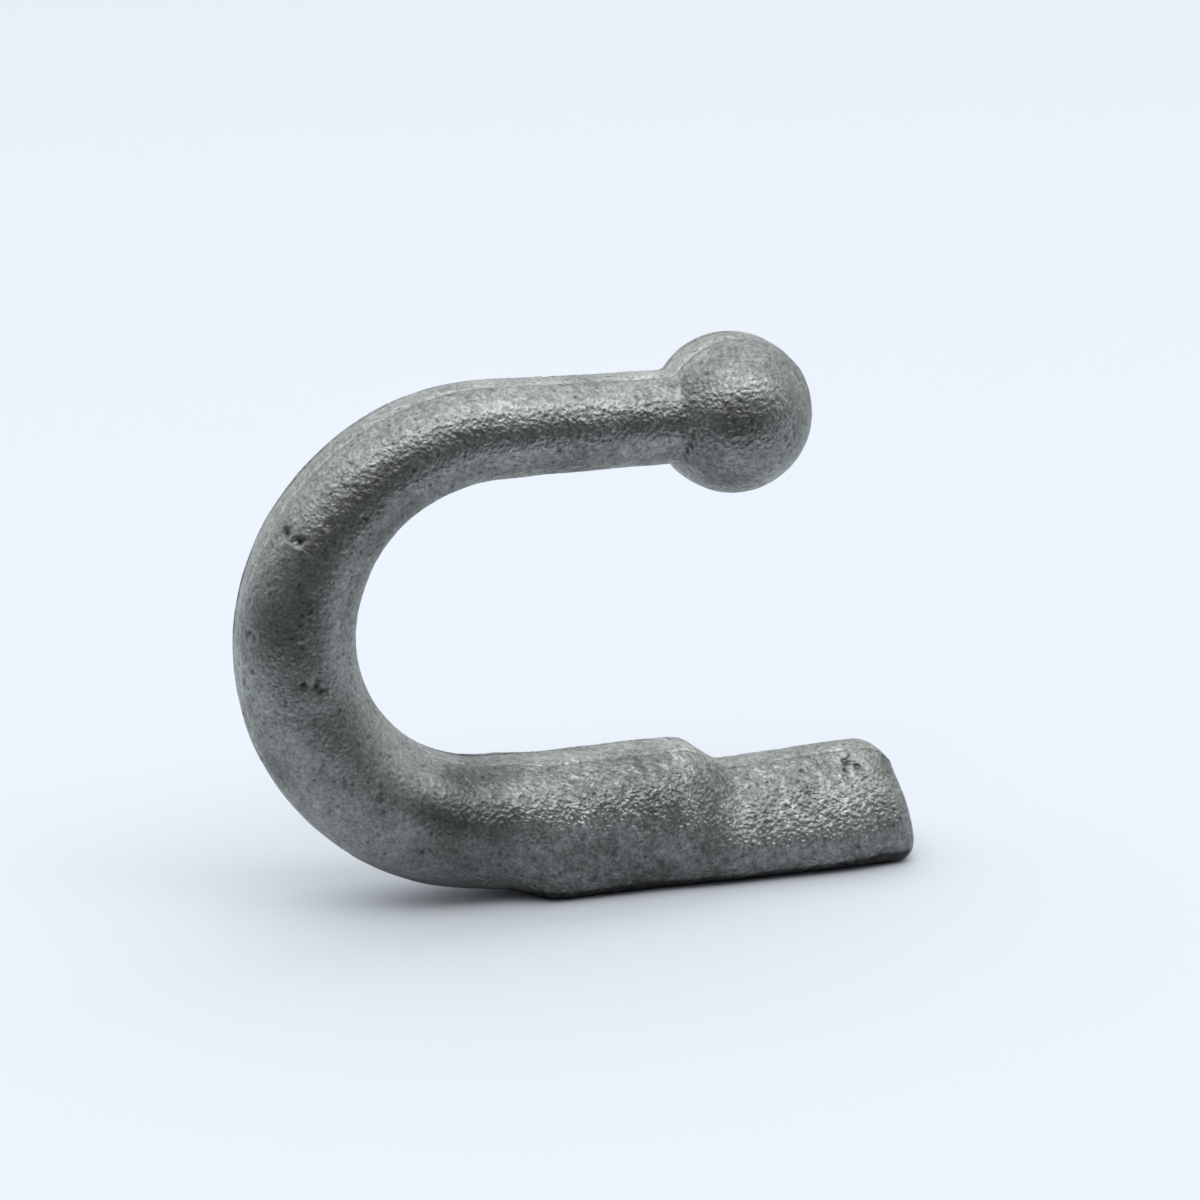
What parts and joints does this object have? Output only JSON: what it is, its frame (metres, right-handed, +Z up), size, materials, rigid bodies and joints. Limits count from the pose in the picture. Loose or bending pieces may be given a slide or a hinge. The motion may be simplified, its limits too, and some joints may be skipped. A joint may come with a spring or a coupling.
{
  "type": "weld-on rope hook",
  "caption": "Forged U-shaped rope hook with a ball at the end of its arm, a raised boss and a flat edge on the shank that is welded down.",
  "frame": {"origin": "centre of the flat weld face under the shank", "axes": "+X along the shank towards the tab's end, +Y across the hook, +Z up from the weld face towards the arm"},
  "size_m": [0.088, 0.0202, 0.0698],
  "materials": {
    "forged_steel": "bare drop forging, shot-blasted, self-coloured grey"
  },
  "bodies": {
    "root": {"rope_hook": "forged_steel"}
  },
  "joints": []
}
